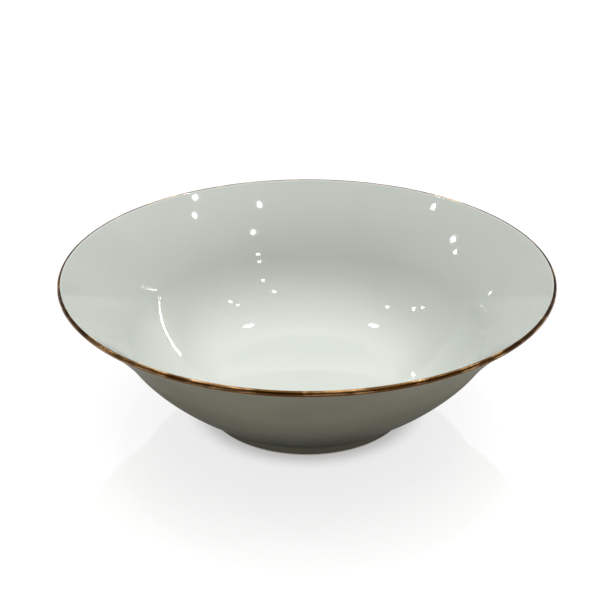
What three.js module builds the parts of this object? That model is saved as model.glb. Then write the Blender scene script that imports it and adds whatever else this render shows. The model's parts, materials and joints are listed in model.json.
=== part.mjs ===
// A round porcelain serving bowl with a flared lip, a low foot ring and a gilt rim.
// Units are millimetres, +Z is up, and the origin is at the centre of the foot's bearing plane.
//
// The bowl is built in the order it is made: the porcelain body, the foot ring luted under it,
// the three glaze coats that leave the foot's bearing edge bare, and the gilt band over the lip.
// Every sub-part is a solid of revolution, so each is drawn as a closed half-section.
import * as THREE from "three";

// Driving dimensions of the finished bowl.
const RIM_RADIUS = 115; // to the outside of the gilt band
const HEIGHT = 73; // to the top of the gilt band
const LIP_THICKNESS = 2.4; // glazed wall at the lip
const WALL_THICKNESS = 3.4; // glazed wall at the waist
const FOOT_HEIGHT = 8; // from the bearing plane to the crease under the belly
const FOOT_RADIUS_TOP = 52.7;
const FOOT_RADIUS_BOTTOM = 49.4;
const WELL_RADIUS = 42; // flat floor inside the bowl
const WELL_HEIGHT = 12.4; // its height above the bearing plane
const RECESS_RADIUS_TOP = 43.4; // glazed recess inside the foot ring
const RECESS_RADIUS_BOTTOM = 45; // at the glaze line

// The outside wall is an S-curve: it leaves the foot low, is steepest at the waist and flares to the lip.
// A hold is how far an end of a curve keeps to its own heading, as the handle of a cubic curve.
const CREASE_ANGLE = 22.5;
const CREASE_HOLD = 9.3;
const WAIST = new THREE.Vector2(87, 39.1);
const WAIST_ANGLE = 58.5;
const WAIST_HOLD_BELOW = 13.4;
const WAIST_HOLD_ABOVE = 12;
const LIP_ANGLE = 42;
const LIP_HOLD = 14;
const INNER_WAIST_HOLD = 16;
const WELL_HOLD = 17;

// Coats and fits.
const GLAZE_THICKNESS = 0.3;
const GILT_THICKNESS = 0.2;
const FIT_GAP = 0.05; // between pieces that touch
const COAT = GLAZE_THICKNESS + FIT_GAP; // from the porcelain to the outside of its glaze
const GLAZE_LINE = 0.9; // height above the bearing plane where the glaze stops on the foot

// Turns round the lip's half-round edge, from its outer tangent (0) to its inner tangent (180).
const GILT_FROM = 5;
const GILT_TO = 138;
const GLAZES_MEET = 110; // the two colours of glaze meet under the gilt

// Fillets.
const CREASE_FILLET = 1.2;
const BEARING_FILLET = 0.6;
const RECESS_FILLET = 1.4;

const SEGMENTS = 60; // flats round the bowl
const WALL_STEPS = 5; // chords in each long curve of the wall
const FILLET_STEPS = 2; // chords in each small round
const LIP_STEPS = 5; // chords round the lip's edge
const OUTER_LIP_STEPS = 3; // of those, the ones under the outer glaze
const INNER_LIP_STEPS = 2; // and under the inner glaze

// ---- Drawing aids ----

/** The point at a distance from another, along an angle in degrees from the horizontal. */
function along(point, degrees, distance) {
  const angle = THREE.MathUtils.degToRad(degrees);
  return new THREE.Vector2(point.x + distance * Math.cos(angle), point.y + distance * Math.sin(angle));
}

/** A long smooth curve that leaves one point and reaches another at the given angles. */
function wallCurve(from, fromAngle, fromHold, to, toAngle, toHold) {
  const leave = along(from, fromAngle, fromHold);
  const arrive = along(to, toAngle, -toHold);
  return new THREE.CubicBezierCurve(from, leave, arrive, to).getPoints(WALL_STEPS);
}

/** A corner between two points, rounded off from a reach before it to a reach after it. */
function roundedCorner(before, corner, after, reach) {
  const towards = (end) => end.clone().sub(corner).setLength(reach).add(corner);
  const round = new THREE.QuadraticBezierCurve(towards(before), corner, towards(after));
  return round.getPoints(FILLET_STEPS);
}

/** The point at a height on the straight line through two others. */
function atHeight(height, a, b) {
  return new THREE.Vector2(a.x + ((b.x - a.x) * (height - a.y)) / (b.y - a.y), height);
}

/** A path moved sideways by a distance, to its right as it is walked. */
function offset(path, distance) {
  const last = path.length - 1;
  const headingInto = (i) => path[i].clone().sub(path[i - 1]).normalize();
  return path.map((point, i) => {
    const arriving = headingInto(Math.max(i, 1));
    const leaving = headingInto(Math.min(i + 1, last));
    const sum = arriving.add(leaving);
    const stretch = (2 * distance) / sum.lengthSq(); // mitres the corner
    return new THREE.Vector2(point.x + sum.y * stretch, point.y - sum.x * stretch);
  });
}

/** The section of a coat that lies on the right of a path, a fit gap away from it. */
function coat(path, thickness) {
  return [...offset(path, FIT_GAP + thickness), ...offset(path, FIT_GAP).reverse()];
}

/** An outline that doesn't start and end on the axis ends where it began. */
function closed(section) {
  return [...section, section[0].clone()];
}

// ---- Surfaces of the glazed bowl, each walked with the air on its right ----

/** The centre of the lip's half-round edge. */
function lipCentre() {
  const reach = LIP_THICKNESS / 2 + FIT_GAP + GILT_THICKNESS;
  return new THREE.Vector2(RIM_RADIUS - reach, HEIGHT - reach);
}

/** Points round the lip at a radius from its centre, between two turns from its outer tangent. */
function lipRound(radius, fromTurn, toTurn, steps) {
  const points = [];
  for (let i = 0; i <= steps; i++) {
    const turn = fromTurn + ((toTurn - fromTurn) * i) / steps;
    points.push(along(lipCentre(), LIP_ANGLE - 90 + turn, radius));
  }
  return points;
}

const glazedLipRadius = LIP_THICKNESS / 2;
const bareLipRadius = glazedLipRadius - COAT;
const [outerLip, innerLip] = lipRound(glazedLipRadius, 0, 180, 1);

/** The outside, from the glaze line on the foot, over the crease, up to the lip's outer tangent. */
function outside() {
  const crease = new THREE.Vector2(FOOT_RADIUS_TOP, FOOT_HEIGHT);
  const belly = wallCurve(crease, CREASE_ANGLE, CREASE_HOLD, WAIST, WAIST_ANGLE, WAIST_HOLD_BELOW);
  const flare = wallCurve(WAIST, WAIST_ANGLE, WAIST_HOLD_ABOVE, outerLip, LIP_ANGLE, LIP_HOLD);
  const batter = (FOOT_RADIUS_TOP - FOOT_RADIUS_BOTTOM) / FOOT_HEIGHT;
  const glazeEnd = new THREE.Vector2(FOOT_RADIUS_BOTTOM + batter * GLAZE_LINE, GLAZE_LINE);
  const creaseRound = roundedCorner(glazeEnd, crease, belly[1], CREASE_FILLET);
  return [glazeEnd, ...creaseRound, ...belly.slice(1), ...flare.slice(1)];
}

/** The inside, from the lip's inner tangent down to the well and across it to the axis. */
function inside() {
  const waist = along(WAIST, WAIST_ANGLE + 90, WALL_THICKNESS);
  const well = new THREE.Vector2(WELL_RADIUS, WELL_HEIGHT);
  const down = WAIST_ANGLE + 180;
  const flare = wallCurve(innerLip, LIP_ANGLE + 180, LIP_HOLD, waist, down, WAIST_HOLD_ABOVE);
  const belly = wallCurve(waist, down, INNER_WAIST_HOLD, well, 180, WELL_HOLD);
  return [...flare, ...belly.slice(1), new THREE.Vector2(0, WELL_HEIGHT)];
}

const bareOutside = offset(outside(), -COAT); // the porcelain under the glaze
const bareInside = offset(inside(), -COAT);
const seamHeight = bareOutside[1].y; // flat seam where the foot ring is luted under the body
const footTop = seamHeight - FIT_GAP;

/** The glazed recess in the foot, from the axis across its ceiling and down to the glaze line. */
function recess() {
  const ceiling = footTop - COAT;
  const centre = new THREE.Vector2(0, ceiling);
  const corner = new THREE.Vector2(RECESS_RADIUS_TOP, ceiling);
  const glazeEnd = new THREE.Vector2(RECESS_RADIUS_BOTTOM, GLAZE_LINE);
  return [centre, ...roundedCorner(centre, corner, glazeEnd, RECESS_FILLET), glazeEnd];
}

const bareRecess = offset(recess(), -COAT);

// ---- Half-sections of the sub-parts ----

function bodySection() {
  const base = new THREE.Vector2(0, seamHeight);
  const lip = lipRound(bareLipRadius, 0, 180, LIP_STEPS);
  return [base, ...bareOutside.slice(1, -1), ...lip, ...bareInside.slice(1)];
}

function footSection() {
  const outerWall = bareOutside.slice(0, 2);
  const innerWall = bareRecess.slice(-2);
  const outerTop = atHeight(footTop, ...outerWall);
  const outerCorner = atHeight(0, ...outerWall);
  const innerTop = atHeight(footTop, ...innerWall);
  const innerCorner = atHeight(0, ...innerWall);
  return closed([
    ...roundedCorner(innerTop, innerCorner, outerCorner, BEARING_FILLET),
    ...roundedCorner(innerCorner, outerCorner, outerTop, BEARING_FILLET),
    outerTop,
    innerTop,
  ]);
}

function outerGlazeSection() {
  const lip = lipRound(bareLipRadius, 0, GLAZES_MEET, OUTER_LIP_STEPS);
  return closed(coat([...bareOutside.slice(0, -1), ...lip], GLAZE_THICKNESS));
}

function innerGlazeSection() {
  const seamTurn = THREE.MathUtils.radToDeg(FIT_GAP / bareLipRadius);
  const lip = lipRound(bareLipRadius, GLAZES_MEET + seamTurn, 180, INNER_LIP_STEPS);
  return closed(coat([...lip, ...bareInside.slice(1)], GLAZE_THICKNESS));
}

function recessGlazeSection() {
  return closed(coat(bareRecess, GLAZE_THICKNESS));
}

function giltSection() {
  return closed(coat(lipRound(glazedLipRadius, GILT_FROM, GILT_TO, LIP_STEPS), GILT_THICKNESS));
}

// ---- Materials and meshes ----

const BISCUIT = { color: 0xe9e4d8, roughness: 0.7, metalness: 0 };
const WHITE_GLAZE = { color: 0xe6ebe3, roughness: 0.06, metalness: 0 };
const GREY_GLAZE = { color: 0x9a9a8c, roughness: 0.1, metalness: 0 };
const GILT = { color: 0xb07a3c, roughness: 0.2, metalness: 1 };

const bowl = new THREE.Group();
bowl.rotation.x = Math.PI / 2; // a lathe turns about Y, and the bowl stands along Z

function add(name, section, look) {
  const geometry = new THREE.LatheGeometry(section, SEGMENTS);
  const mesh = new THREE.Mesh(geometry, new THREE.MeshStandardMaterial(look));
  mesh.name = name;
  bowl.add(mesh);
}

add("porcelain_body", bodySection(), BISCUIT);
add("foot_ring", footSection(), BISCUIT);
add("inner_glaze", innerGlazeSection(), WHITE_GLAZE);
add("outer_glaze", outerGlazeSection(), GREY_GLAZE);
add("foot_recess_glaze", recessGlazeSection(), GREY_GLAZE);
add("gilt_rim_band", giltSection(), GILT);

export default bowl;
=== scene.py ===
"""Looks for a gilt-edged porcelain serving bowl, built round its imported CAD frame.

Everything is in metres in the CAD's own frame: +Z up, the foot's bearing plane at z = 0, the
bowl's axis on the Z axis. Every piece is a closed solid turned about that axis.
"""
import json
import math

import bmesh
import bpy
import numpy as np
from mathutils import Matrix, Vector


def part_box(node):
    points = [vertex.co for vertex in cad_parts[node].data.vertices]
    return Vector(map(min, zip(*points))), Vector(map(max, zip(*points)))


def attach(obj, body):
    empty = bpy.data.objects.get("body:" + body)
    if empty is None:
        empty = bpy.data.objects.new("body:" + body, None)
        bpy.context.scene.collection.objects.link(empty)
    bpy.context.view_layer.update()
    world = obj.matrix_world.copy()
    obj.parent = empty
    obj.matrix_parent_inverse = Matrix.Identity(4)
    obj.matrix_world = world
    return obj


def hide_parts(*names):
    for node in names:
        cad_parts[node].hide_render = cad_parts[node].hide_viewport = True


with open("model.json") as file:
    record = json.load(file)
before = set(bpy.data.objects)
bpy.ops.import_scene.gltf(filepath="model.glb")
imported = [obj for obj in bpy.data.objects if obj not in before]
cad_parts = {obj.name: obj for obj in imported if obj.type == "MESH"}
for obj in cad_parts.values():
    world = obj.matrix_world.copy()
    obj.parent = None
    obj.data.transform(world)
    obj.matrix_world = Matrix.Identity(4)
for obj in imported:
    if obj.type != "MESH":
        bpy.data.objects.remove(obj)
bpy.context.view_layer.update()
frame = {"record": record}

MM = 0.001
mounts = {m["name"]: m for m in frame["record"]["mounts"]}

# ---- Dimensions of the finished bowl ----

RIM_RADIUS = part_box("gilt_rim_band")[1].x
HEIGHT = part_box("gilt_rim_band")[1].z
WELL_HEIGHT = mounts["well_floor"]["pos_m"][2]
FOOT_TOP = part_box("foot_ring")[1].z
GLAZE_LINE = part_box("outer_glaze")[0].z

LIP_THICKNESS = 2.4 * MM
WALL_THICKNESS = 3.4 * MM
WELL_RADIUS = 42 * MM
CREASE = np.array([52.7, 8.0]) * MM
FOOT_RADIUS_BOTTOM = 49.4 * MM
RECESS_RADIUS_TOP = 43.4 * MM
RECESS_RADIUS_BOTTOM = 45 * MM

# The wall's S-curve: headings in degrees, and holds, the handle lengths of its two cubic curves.
CREASE_ANGLE, CREASE_HOLD = 22.5, 9.3 * MM
WAIST = np.array([87.0, 39.1]) * MM
WAIST_ANGLE, WAIST_HOLD_BELOW, WAIST_HOLD_ABOVE = 58.5, 13.4 * MM, 12 * MM
LIP_ANGLE, LIP_HOLD = 42, 14 * MM
INNER_WAIST_HOLD, WELL_HOLD = 16 * MM, 17 * MM

GLAZE_THICKNESS = 0.3 * MM
GILT_THICKNESS = 0.2 * MM
FIT_GAP = 0.05 * MM
COAT = GLAZE_THICKNESS + FIT_GAP
GLAZED_LIP_RADIUS = LIP_THICKNESS / 2
BARE_LIP_RADIUS = GLAZED_LIP_RADIUS - COAT

# Turns round the lip's edge in degrees, from its outer tangent (0) to its inner tangent (180).
GILT_FROM, GILT_TO = 5, 138
GILT_STRAY = 4  # how far the brushed edges wander either way
GLAZES_MEET = 110

CREASE_FILLET = 1.2 * MM
BEARING_FILLET = 0.6 * MM
RECESS_FILLET = 1.4 * MM

SEGMENTS = 240
WALL_STEPS = 40
ROUND_STEPS = 8
FLAT_STEPS = 8
SHARP_ANGLE = math.radians(50)


# ---- Drawing the half-sections, as arrays of (radius, height) ----

def along(point, degrees, distance):
    """The point at a distance from another, along an angle from the horizontal."""
    angle = math.radians(degrees)
    return np.array(point) + distance * np.array([math.cos(angle), math.sin(angle)])


def cubic(start, start_angle, start_hold, end, end_angle, end_hold):
    """A smooth curve that leaves one point and reaches another at the given angles."""
    handle_1 = along(start, start_angle, start_hold)
    handle_2 = along(end, end_angle, -end_hold)
    t = np.linspace(0, 1, WALL_STEPS + 1)[:, None]
    return (
        (1 - t) ** 3 * start
        + 3 * (1 - t) ** 2 * t * handle_1
        + 3 * (1 - t) * t ** 2 * handle_2
        + t ** 3 * end
    )


def rounded_corner(before, corner, after, reach):
    """A corner rounded off from a reach before it to a reach after it."""
    start = corner + reach * (before - corner) / np.linalg.norm(before - corner)
    end = corner + reach * (after - corner) / np.linalg.norm(after - corner)
    t = np.linspace(0, 1, ROUND_STEPS + 1)[:, None]
    return (1 - t) ** 2 * start + 2 * (1 - t) * t * corner + t ** 2 * end


def straight(start, end, steps):
    """Evenly spaced points on a straight line, without its first point."""
    return np.linspace(start, end, steps + 1)[1:]


def offset(path, distance):
    """A path moved sideways by a distance, or one distance for each point, to its right."""
    step = np.diff(path, axis=0)
    step /= np.linalg.norm(step, axis=1)[:, None]
    arriving = np.vstack([step[:1], step])
    leaving = np.vstack([step, step[-1:]])
    total = arriving + leaving
    stretch = 2 * np.asarray(distance) / (total ** 2).sum(axis=1)
    return path + np.column_stack([total[:, 1], -total[:, 0]]) * stretch[:, None]


def at_height(height, a, b):
    """The point at a height on the straight line through two others."""
    return a + (b - a) * (height - a[1]) / (b[1] - a[1])


def lip_round(radius, from_turn, to_turn, steps=2 * ROUND_STEPS):
    """Points round the lip's edge at a radius from its centre, between two turns."""
    reach = GLAZED_LIP_RADIUS + FIT_GAP + GILT_THICKNESS
    centre = np.array([RIM_RADIUS - reach, HEIGHT - reach])
    turns = np.linspace(from_turn, to_turn, steps + 1)
    return np.array([along(centre, LIP_ANGLE - 90 + turn, radius) for turn in turns])


def outside():
    """The glazed outside, from the glaze line on the foot to the lip's outer tangent."""
    lip = lip_round(GLAZED_LIP_RADIUS, 0, 180)[0]
    belly = cubic(CREASE, CREASE_ANGLE, CREASE_HOLD, WAIST, WAIST_ANGLE, WAIST_HOLD_BELOW)
    flare = cubic(WAIST, WAIST_ANGLE, WAIST_HOLD_ABOVE, lip, LIP_ANGLE, LIP_HOLD)
    foot_bottom = np.array([FOOT_RADIUS_BOTTOM, 0])
    glaze_end = at_height(GLAZE_LINE, foot_bottom, CREASE)
    past_crease = belly[6]
    crease = rounded_corner(glaze_end, CREASE, past_crease, CREASE_FILLET)
    foot = np.vstack([glaze_end, straight(glaze_end, crease[0], 6)])
    fillet_end = crease[-1, 0] + 0.3 * MM
    belly = belly[belly[:, 0] > fillet_end]
    return np.vstack([foot, crease[1:], belly, flare[1:]])


def inside():
    """The glazed inside, from the lip's inner tangent, across the well, to the axis."""
    lip = lip_round(GLAZED_LIP_RADIUS, 0, 180)[-1]
    waist = along(WAIST, WAIST_ANGLE + 90, WALL_THICKNESS)
    well = np.array([WELL_RADIUS, WELL_HEIGHT])
    down = WAIST_ANGLE + 180
    flare = cubic(lip, LIP_ANGLE + 180, LIP_HOLD, waist, down, WAIST_HOLD_ABOVE)
    belly = cubic(waist, down, INNER_WAIST_HOLD, well, 180, WELL_HOLD)
    well_floor = straight(well, np.array([0, WELL_HEIGHT]), 10)
    return np.vstack([flare, belly[1:], well_floor])


bare_outside = offset(outside(), -COAT)
bare_inside = offset(inside(), -COAT)


def recess():
    """The glazed recess in the foot, from the axis, across its ceiling, to the glaze line."""
    ceiling = FOOT_TOP - COAT
    centre = np.array([0, ceiling])
    corner = np.array([RECESS_RADIUS_TOP, ceiling])
    glaze_end = np.array([RECESS_RADIUS_BOTTOM, GLAZE_LINE])
    turn = rounded_corner(centre, corner, glaze_end, RECESS_FILLET)
    across = np.vstack([centre, straight(centre, turn[0], FLAT_STEPS)])
    return np.vstack([across, turn[1:], straight(turn[-1], glaze_end, 4)])


bare_recess = offset(recess(), -COAT)


# ---- Closed sections of the pieces ----

def coat(path, thickness):
    """The section of a coat on the right of a path, with one thickness for each point."""
    return np.vstack([offset(path, FIT_GAP + thickness), offset(path, FIT_GAP)[::-1]])


def rolled(path, thickness, ends):
    """A thickness for each point of a path, which rounds off to a thin edge at the chosen ends."""
    length = np.concatenate([[0], np.cumsum(np.linalg.norm(np.diff(path, axis=0), axis=1))])
    roll = 0.5 * MM
    thin = 0.25
    share = np.ones(len(path))
    if "start" in ends:
        share = np.minimum(share, length / roll)
    if "end" in ends:
        share = np.minimum(share, (length[-1] - length) / roll)
    return thickness * (thin + (1 - thin) * np.sqrt(1 - (1 - share) ** 2))


def body_section(_):
    base = np.array([0, FOOT_TOP + FIT_GAP])
    seam = at_height(base[1], bare_outside[0], bare_outside[1])
    clear_of_seam = seam[1] + 0.02 * MM
    above = bare_outside[bare_outside[:, 1] > clear_of_seam]
    lip = lip_round(BARE_LIP_RADIUS, 0, 180)
    underside = straight(base, seam, FLAT_STEPS)
    return np.vstack([base, underside, above[:-1], lip, bare_inside[1:]])


def foot_section(_):
    outer_wall = bare_outside[:2]
    inner_wall = bare_recess[-2:]
    outer_top, outer_corner = [at_height(z, *outer_wall) for z in (FOOT_TOP, 0)]
    inner_top, inner_corner = [at_height(z, *inner_wall) for z in (FOOT_TOP, 0)]
    inner_round = rounded_corner(inner_top, inner_corner, outer_corner, BEARING_FILLET)
    outer_round = rounded_corner(inner_corner, outer_corner, outer_top, BEARING_FILLET)
    return np.vstack([
        inner_round,
        outer_round,
        straight(outer_round[-1], outer_top, 5),
        straight(outer_top, inner_top, 6),
        straight(inner_top, inner_round[0], 5)[:-1],
    ])


def outer_glaze_section(_):
    path = np.vstack([bare_outside[:-1], lip_round(BARE_LIP_RADIUS, 0, GLAZES_MEET)])
    return coat(path, rolled(path, GLAZE_THICKNESS, ["start"]))


def inner_glaze_section(_):
    seam_turn = math.degrees(FIT_GAP / BARE_LIP_RADIUS)
    lip = lip_round(BARE_LIP_RADIUS, GLAZES_MEET + seam_turn, 180)
    path = np.vstack([lip, bare_inside[1:]])
    return coat(path, rolled(path, GLAZE_THICKNESS, []))


def recess_glaze_section(_):
    return coat(bare_recess, rolled(bare_recess, GLAZE_THICKNESS, ["end"]))


def brushed_edge(azimuth, phase):
    """How far a brushed line strays, from -1 to 1: a slow sway with a hand's tremor on it."""
    sway = math.sin(5 * azimuth + phase) + 0.6 * math.sin(13 * azimuth + 2.3 * phase)
    tremor = 0.4 * math.sin(37 * azimuth + 3.1 * phase) + 0.25 * math.sin(71 * azimuth)
    most = 1 + 0.6 + 0.4 + 0.25
    return (sway + tremor) / most


def gilt_section(azimuth):
    from_turn = GILT_FROM + GILT_STRAY * brushed_edge(azimuth, 0.7)
    to_turn = GILT_TO + GILT_STRAY * brushed_edge(azimuth, 2.9)
    path = lip_round(GLAZED_LIP_RADIUS, from_turn, to_turn, 3 * ROUND_STEPS)
    return coat(path, rolled(path, GILT_THICKNESS, ["start", "end"]))


# ---- Turning a section into a closed mesh ----

def turned(name, section_at, segments):
    """A closed solid whose half-section at each azimuth is a closed loop of points."""
    azimuths = [2 * math.pi * k / segments for k in range(segments)]
    sections = [section_at(azimuth) for azimuth in azimuths]
    count = len(sections[0])
    on_axis = [radius < 1e-9 for radius, _ in sections[0]]
    verts = []
    index = {}
    for k, azimuth in enumerate(azimuths):
        for j, (radius, height) in enumerate(sections[k]):
            if on_axis[j] and k:
                index[k, j] = index[0, j]
                continue
            index[k, j] = len(verts)
            verts.append((radius * math.cos(azimuth), radius * math.sin(azimuth), height))
    faces = []
    for k in range(segments):
        after = (k + 1) % segments
        for j in range(count):
            up = (j + 1) % count
            ring = [index[k, j], index[after, j], index[after, up], index[k, up]]
            corners = list(dict.fromkeys(ring))
            if len(corners) > 2:
                faces.append(corners)
    mesh = bpy.data.meshes.new(name)
    mesh.from_pydata(verts, [], faces)
    work = bmesh.new()
    work.from_mesh(mesh)
    bmesh.ops.recalc_face_normals(work, faces=work.faces)
    work.to_mesh(mesh)
    work.free()
    mesh.shade_smooth()
    mesh.set_sharp_from_angle(angle=SHARP_ANGLE)
    piece = bpy.data.objects.new(name, mesh)
    bpy.context.scene.collection.objects.link(piece)
    return piece


# ---- Materials ----

class Nodes:
    """A material's node tree, with short calls for the nodes that these materials use."""

    def __init__(self, name):
        self.material = bpy.data.materials.new(name)
        self.material.use_nodes = True
        self.tree = self.material.node_tree
        self.shader = self.tree.nodes["Principled BSDF"]
        self.place = self.tree.nodes.new("ShaderNodeTexCoord").outputs["Object"]

    def link(self, source, target):
        if isinstance(source, bpy.types.NodeSocket):
            self.tree.links.new(source, target)
        else:
            target.default_value = source

    def math(self, operation, *values):
        node = self.tree.nodes.new("ShaderNodeMath")
        node.operation = operation
        for value, socket in zip(values, node.inputs):
            self.link(value, socket)
        return node.outputs[0]

    def noise(self, scale, detail=3, roughness=0.5, vector=None):
        node = self.tree.nodes.new("ShaderNodeTexNoise")
        node.inputs["Scale"].default_value = scale
        node.inputs["Detail"].default_value = detail
        node.inputs["Roughness"].default_value = roughness
        self.link(vector or self.place, node.inputs["Vector"])
        return node.outputs["Fac"]

    def ramp(self, value, low, high, to_low=0.0, to_high=1.0):
        """The value mapped smoothly from one range to another."""
        node = self.tree.nodes.new("ShaderNodeMapRange")
        node.interpolation_type = "SMOOTHSTEP"
        for number, socket in zip((value, low, high, to_low, to_high), node.inputs):
            self.link(number, socket)
        return node.outputs[0]

    def mix(self, factor, first, second):
        node = self.tree.nodes.new("ShaderNodeMix")
        node.data_type = "RGBA"
        self.link(factor, node.inputs["Factor"])
        for colour, socket in ((first, node.inputs[6]), (second, node.inputs[7])):
            self.link(colour if isinstance(colour, bpy.types.NodeSocket) else (*colour, 1), socket)
        return node.outputs[2]

    def bump(self, height, depth, normal=None):
        """A bump whose height, from 0 to 1, stands for a depth in metres."""
        node = self.tree.nodes.new("ShaderNodeBump")
        node.inputs["Strength"].default_value = 1
        node.inputs["Distance"].default_value = depth
        self.link(height, node.inputs["Height"])
        if normal:
            self.link(normal, node.inputs["Normal"])
        return node.outputs[0]

    def height(self):
        node = self.tree.nodes.new("ShaderNodeSeparateXYZ")
        self.link(self.place, node.inputs[0])
        return node.outputs["Z"]

    def finish(self, colour, roughness, normal, metallic=0.0, ior=1.5):
        self.link(colour, self.shader.inputs["Base Color"])
        self.link(roughness, self.shader.inputs["Roughness"])
        self.link(normal, self.shader.inputs["Normal"])
        self.shader.inputs["Metallic"].default_value = metallic
        self.shader.inputs["IOR"].default_value = ior
        return self.material


# The base colours of the glazes, and of the drifts, specks and painted shade in them, are linear.
PALE_TONE = (0.70, 0.735, 0.68)
PALE_DRIFT = (0.68, 0.72, 0.665)
PALE_SPECK = (0.5, 0.46, 0.38)
# The outside's grey is painted shade: its tone is set dark so that the outside shows as a wall in
# shade.
OUTSIDE_SHADE_TONE = (0.172, 0.167, 0.126)
OUTSIDE_SHADE_DRIFT = tuple(0.9 * c for c in OUTSIDE_SHADE_TONE)
GREY_SPECK = (0.05, 0.045, 0.04)
# Painted shade, darkest round the crease and low on the belly.
LOW_SHADE_TONE = (0.04, 0.039, 0.03)

# Painted shade low on the outside, darkest round the crease, where the wall faces the floor under
# the bowl. It comes on between two heights on the foot, and fades out between two heights on the
# belly.
LOW_SHADE_ON_FOOT = (4 * MM, 8.5 * MM)
LOW_SHADE_ON_BELLY = (15 * MM, 47 * MM)


def specks(n, share):
    """A mask of fine round specks, in a share of the cells of a close pattern."""
    cells = n.tree.nodes.new("ShaderNodeTexVoronoi")
    cells.inputs["Scale"].default_value = 260
    n.link(n.place, cells.inputs["Vector"])
    chosen = n.math("LESS_THAN", cells.outputs["Color"], share)
    dot = n.ramp(cells.outputs["Distance"], 0.03, 0.075, 1, 0)
    return n.math("MULTIPLY", chosen, dot)


def low_shade_mask(n):
    """A mask of painted shade low on the outside: half as strong low on the foot, and gone above the
    waist.
    """
    on_foot = n.ramp(n.height(), *LOW_SHADE_ON_FOOT, 0.5, 1)
    on_belly = n.ramp(n.height(), *LOW_SHADE_ON_BELLY, 1, 0)
    return n.math("MULTIPLY", on_foot, on_belly)


def glaze(name, tone, drift, speck, speck_share, gloss, ior, wave, low_shade=None):
    """Fired glaze: soft drifts of tone, a few fine specks, and a surface that isn't quite flat."""
    n = Nodes(name)
    tone = n.mix(n.ramp(n.noise(22, 4), 0.35, 0.65), tone, drift)
    tone = n.mix(specks(n, speck_share), tone, speck)
    # Painted shade low on the outside.
    if low_shade:
        tone = n.mix(low_shade_mask(n), tone, low_shade)
    waves = n.bump(n.noise(60, 1), wave)
    peel = n.bump(n.noise(650, 2), 0.0006 * MM, waves)
    roughness = n.ramp(n.noise(40, 3), 0.3, 0.7, *gloss)
    return n.finish(tone, roughness, peel, ior=ior)


def pale_glaze():
    gloss = (0.03, 0.07)
    wave = 0.02 * MM
    return glaze("pale_glaze", PALE_TONE, PALE_DRIFT, PALE_SPECK, 0.03, gloss, 1.5, wave)


def grey_glaze():
    """A satin grey, set dark as painted shade for an outside that faces down, away from the light.
    Its low index keeps it from shining where it is seen at a shallow angle.
    """
    gloss = (0.35, 0.45)
    wave = 0.005 * MM
    return glaze("grey_glaze", OUTSIDE_SHADE_TONE, OUTSIDE_SHADE_DRIFT, GREY_SPECK, 0.06, gloss, 1.03, wave, LOW_SHADE_TONE)


CLAY_LIGHT = (0.80, 0.77, 0.70)
CLAY_DARK = (0.66, 0.62, 0.54)
CLAY_WORN = (0.36, 0.33, 0.28)
WEAR_HEIGHT = 0.9 * MM


def biscuit():
    """Unglazed fired porcelain: fine, matte and faintly sandy, greyed where it stands."""
    n = Nodes("biscuit")
    tone = n.mix(n.noise(180, 5), CLAY_LIGHT, CLAY_DARK)
    tone = n.mix(n.ramp(n.height(), 0.0, WEAR_HEIGHT, 0.75, 0), tone, CLAY_WORN)
    grain = n.bump(n.noise(4200, 3, 0.65), 0.03 * MM)
    return n.finish(tone, n.ramp(n.noise(900), 0.3, 0.7, 0.55, 0.75), grain, ior=1.45)


# The gold's warm brown is partly the gilt's own colour and partly painted shade: set far darker than
# bright gold, so the band shows as dark as when it reflects a dim room.
GOLD_WARM = (0.14, 0.065, 0.017)
GOLD_DARK = (0.055, 0.023, 0.006)
# Painted glints: the colour of bright gold patches that stand in for glints on the band.
GOLD_GLINT_PATCH = (0.62, 0.35, 0.15)
STROKE_ACROSS = (0.68, 0.73)  # across the band: so much up for so much inwards
STROKE_SQUEEZE = 60  # how much closer the brush marks lie across the band than along it
SHADED_EDGE = (HEIGHT - 1.9 * MM, HEIGHT - 0.9 * MM)  # painted shade: dark below the first, none above the second
SHADED_EDGE_SHARE = 0.95


def stroke(n, x, y, z):
    """Places on the gilding, squeezed together across the band so that a noise streaks along it."""
    radius = n.math("SQRT", n.math("ADD", n.math("MULTIPLY", x, x), n.math("MULTIPLY", y, y)))
    up, inwards = STROKE_ACROSS
    across = n.math("SUBTRACT", n.math("MULTIPLY", z, up), n.math("MULTIPLY", radius, inwards))
    place = n.tree.nodes.new("ShaderNodeCombineXYZ")
    n.link(n.math("DIVIDE", n.math("MULTIPLY", x, RIM_RADIUS), radius), place.inputs[0])
    n.link(n.math("DIVIDE", n.math("MULTIPLY", y, RIM_RADIUS), radius), place.inputs[1])
    n.link(n.math("MULTIPLY", across, STROKE_SQUEEZE), place.inputs[2])
    return place.outputs[0]


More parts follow.
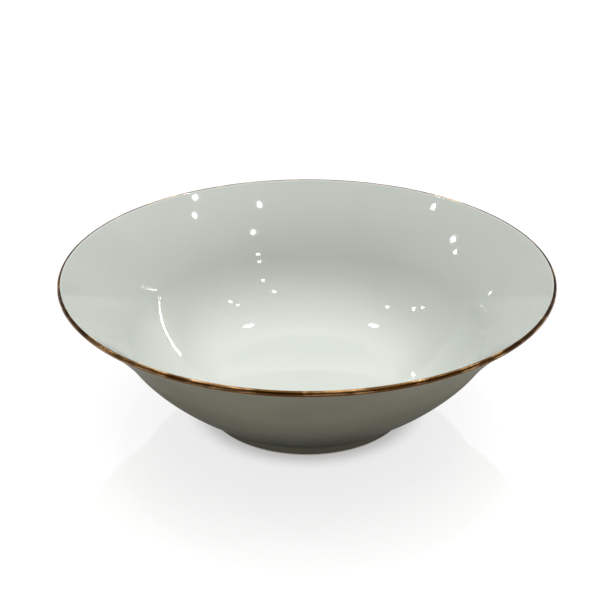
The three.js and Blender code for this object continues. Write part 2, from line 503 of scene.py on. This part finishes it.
def gilt():
    """Gold brushed round the lip: streaks along the stroke, painted shade in dark brown at its lower
    edge, and painted glints in bright patches.
    """
    n = Nodes("gilt")
    split = n.tree.nodes.new("ShaderNodeSeparateXYZ")
    n.link(n.place, split.inputs[0])
    x, y, z = split.outputs
    streaks = n.noise(90, 4, 0.6, stroke(n, x, y, z))
    gold = n.mix(n.ramp(streaks, 0.35, 0.65), GOLD_WARM, GOLD_DARK)
    # Painted glints: patches of bright gold, broken up by the brush streaks.
    glint_patch = n.ramp(n.noise(85, 3), 0.47, 0.6)
    painted_glint = n.math("MULTIPLY", glint_patch, n.ramp(streaks, 0.42, 0.6, 1, 0))
    gold = n.mix(painted_glint, gold, GOLD_GLINT_PATCH)
    # Painted shade: the band's lower edge darkened towards dark brown.
    gold = n.mix(n.ramp(z, *SHADED_EDGE, SHADED_EDGE_SHARE, 0), gold, GOLD_DARK)
    roughness = n.ramp(streaks, 0.3, 0.7, 0.14, 0.3)
    bump = n.bump(streaks, 0.008 * MM, n.bump(n.noise(240, 2), 0.02 * MM))
    return n.finish(gold, roughness, bump, metallic=1.0)


PALE = pale_glaze()
SHADED_GREY = grey_glaze()
BISCUIT = biscuit()
GILT = gilt()


# ---- Pieces ----

def add(name, section_at, node, material, segments=SEGMENTS):
    piece = turned(name, section_at, segments)
    piece.data.materials.append(material)
    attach(piece, "root")
    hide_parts(node)


add("bowl_porcelain", body_section, "porcelain_body", BISCUIT)
add("foot_ring_porcelain", foot_section, "foot_ring", BISCUIT)
add("inner_glaze_coat", inner_glaze_section, "inner_glaze", PALE)
add("outer_glaze_coat", outer_glaze_section, "outer_glaze", SHADED_GREY)
add("recess_glaze_coat", recess_glaze_section, "foot_recess_glaze", SHADED_GREY)
add("gilt_edge", gilt_section, "gilt_rim_band", GILT, 2 * SEGMENTS)


# ---- Studio: floor, light and camera ----

SKY_WAY = (0.06, 0.25, 0.97)  # where the sky is brightest
SKY_EDGE = 0.6  # how near to that way, as a cosine, it reaches full strength
SKY_DIM = 0.15
SKY_BRIGHT = 2.15

FLOOR_REACH = 4
FLOOR_TONE = 0.35
FLOOR_GLOW = 0.8
GLOW_FROM = 36 * MM  # the floor's glow grows between these distances from the bowl's axis; the dim patch round the foot is a painted contact shadow
GLOW_TO = 62 * MM

LAMP_DISTANCE = 6
LAMP_GLOW = 60

# Each lamp's azimuth clockwise from +Y and elevation, in degrees, and its radius in millimetres.
LAMPS = [
    (90, 60, 70),
    (92, 55, 80),
    (136, 67, 80),
    (136, 56, 90),
    (143, 41, 110),
    (39, 63, 190),
    (-83, 55, 80),
    (-73, 42, 90),
    (-71, 37, 80),
    (-46, 61, 180),
    (-40, 14, 60),
    (-14, 28, 80),
]

# A row of narrow spots on the right, spread between two directions, all aimed low on the left
# of the bowl's inside.
ROW_FROM = (64, 17)
ROW_TO = (32, 25)
ROW_SPOTS = 40
ROW_RADIUS = 14 * MM
ROW_DISTANCE = 2
ROW_AIM = Vector((-69, 22, 27)) * MM
ROW_REACH = 19 * MM  # how far round the aim each spot's cone lights


def glowing_sheet():
    """The floor's material: pale, glossy and lit from within, except close to the foot, where the
    missing glow paints a contact shadow.
    """
    n = Nodes("floor")
    tone = n.mix(n.noise(3, 2), [FLOOR_TONE] * 3, [FLOOR_TONE - 0.02] * 3)
    from_axis = n.tree.nodes.new("ShaderNodeVectorMath")
    from_axis.operation = "LENGTH"
    n.link(n.place, from_axis.inputs[0])
    # The glow held back near the foot paints a contact shadow.
    glow = n.ramp(from_axis.outputs["Value"], GLOW_FROM, GLOW_TO, 0, FLOOR_GLOW)
    n.shader.inputs["Emission Color"].default_value = (1, 1, 1, 1)
    n.link(glow, n.shader.inputs["Emission Strength"])
    ripple = n.bump(n.noise(30, 1), 0.01 * MM)
    return n.finish(tone, 0.05, ripple, ior=1.8)


def floor():
    """A broad pale floor."""
    mesh = bpy.data.meshes.new("floor")
    far = FLOOR_REACH
    corners = [(-far, -far, 0), (far, -far, 0), (far, far, 0), (-far, far, 0)]
    mesh.from_pydata(corners, [], [(0, 1, 2, 3)])
    mesh.materials.append(glowing_sheet())
    obj = bpy.data.objects.new("floor", mesh)
    bpy.context.scene.collection.objects.link(obj)


def sky():
    """A dome of soft light, strongest above and a little behind the bowl, dim towards the camera."""
    world = bpy.data.worlds.new("studio")
    world.use_nodes = True
    bpy.context.scene.world = world
    tree = world.node_tree
    background = tree.nodes["Background"]
    place = tree.nodes.new("ShaderNodeTexCoord")
    lean = tree.nodes.new("ShaderNodeVectorMath")
    lean.operation = "DOT_PRODUCT"
    lean.inputs[1].default_value = Vector(SKY_WAY).normalized()
    ramp = tree.nodes.new("ShaderNodeMapRange")
    ramp.interpolation_type = "SMOOTHSTEP"
    for number, socket in zip((0.0, SKY_EDGE, 1.0, SKY_DIM, SKY_BRIGHT), ramp.inputs):
        socket.default_value = number
    tree.links.new(place.outputs["Generated"], lean.inputs[0])
    tree.links.new(lean.outputs["Value"], ramp.inputs[0])
    tree.links.new(ramp.outputs[0], background.inputs["Strength"])
    background.inputs["Color"].default_value = (1, 1, 1, 1)


def way(azimuth, elevation):
    """A direction by azimuth clockwise from +Y and elevation, both in degrees."""
    a, e = math.radians(azimuth), math.radians(elevation)
    return Vector((math.sin(a) * math.cos(e), math.cos(a) * math.cos(e), math.sin(e)))


def lamp(kind, name, place, radius):
    """A round lamp whose face has the same brightness whatever its size."""
    data = bpy.data.lights.new(name, kind)
    data.shadow_soft_size = radius
    data.energy = LAMP_GLOW * (2 * math.pi * radius) ** 2
    obj = bpy.data.objects.new(name, data)
    obj.location = place
    bpy.context.scene.collection.objects.link(obj)
    return obj


def lamps():
    """Small round lamps about the room, which glint in the glaze and the gilt."""
    for number, (azimuth, elevation, radius) in enumerate(LAMPS):
        lamp("POINT", f"lamp_{number}", LAMP_DISTANCE * way(azimuth, elevation), radius * MM)


def row():
    """A row of narrow spots, which together draw one long curved streak low in the glaze."""
    for number in range(ROW_SPOTS):
        t = number / (ROW_SPOTS - 1)
        azimuth, elevation = [a + t * (b - a) for a, b in zip(ROW_FROM, ROW_TO)]
        heading = way(azimuth, elevation)
        spot = lamp("SPOT", f"row_{number}", ROW_AIM + ROW_DISTANCE * heading, ROW_RADIUS)
        spot.data.spot_size = 2 * math.atan(ROW_REACH / ROW_DISTANCE)
        spot.data.spot_blend = 0.4
        spot.rotation_euler = heading.to_track_quat("Z", "Y").to_euler()


def camera():
    """The camera, looking down at the bowl from the front."""
    elevation = math.radians(27.95)
    distance = 0.575
    target = Vector((0, 0, 38.5 * MM))
    data = bpy.data.cameras.new("camera")
    data.lens = 71.8
    data.sensor_width = 36
    data.shift_x = -0.0115
    data.shift_y = 0.0523
    obj = bpy.data.objects.new("camera", data)
    back = Vector((0, -math.cos(elevation), math.sin(elevation)))
    obj.location = target + distance * back
    obj.rotation_euler = (math.pi / 2 - elevation, 0, 0)
    bpy.context.scene.collection.objects.link(obj)
    bpy.context.scene.camera = obj


floor()
sky()
lamps()
row()
camera()
bpy.context.scene.view_settings.view_transform = "Standard"
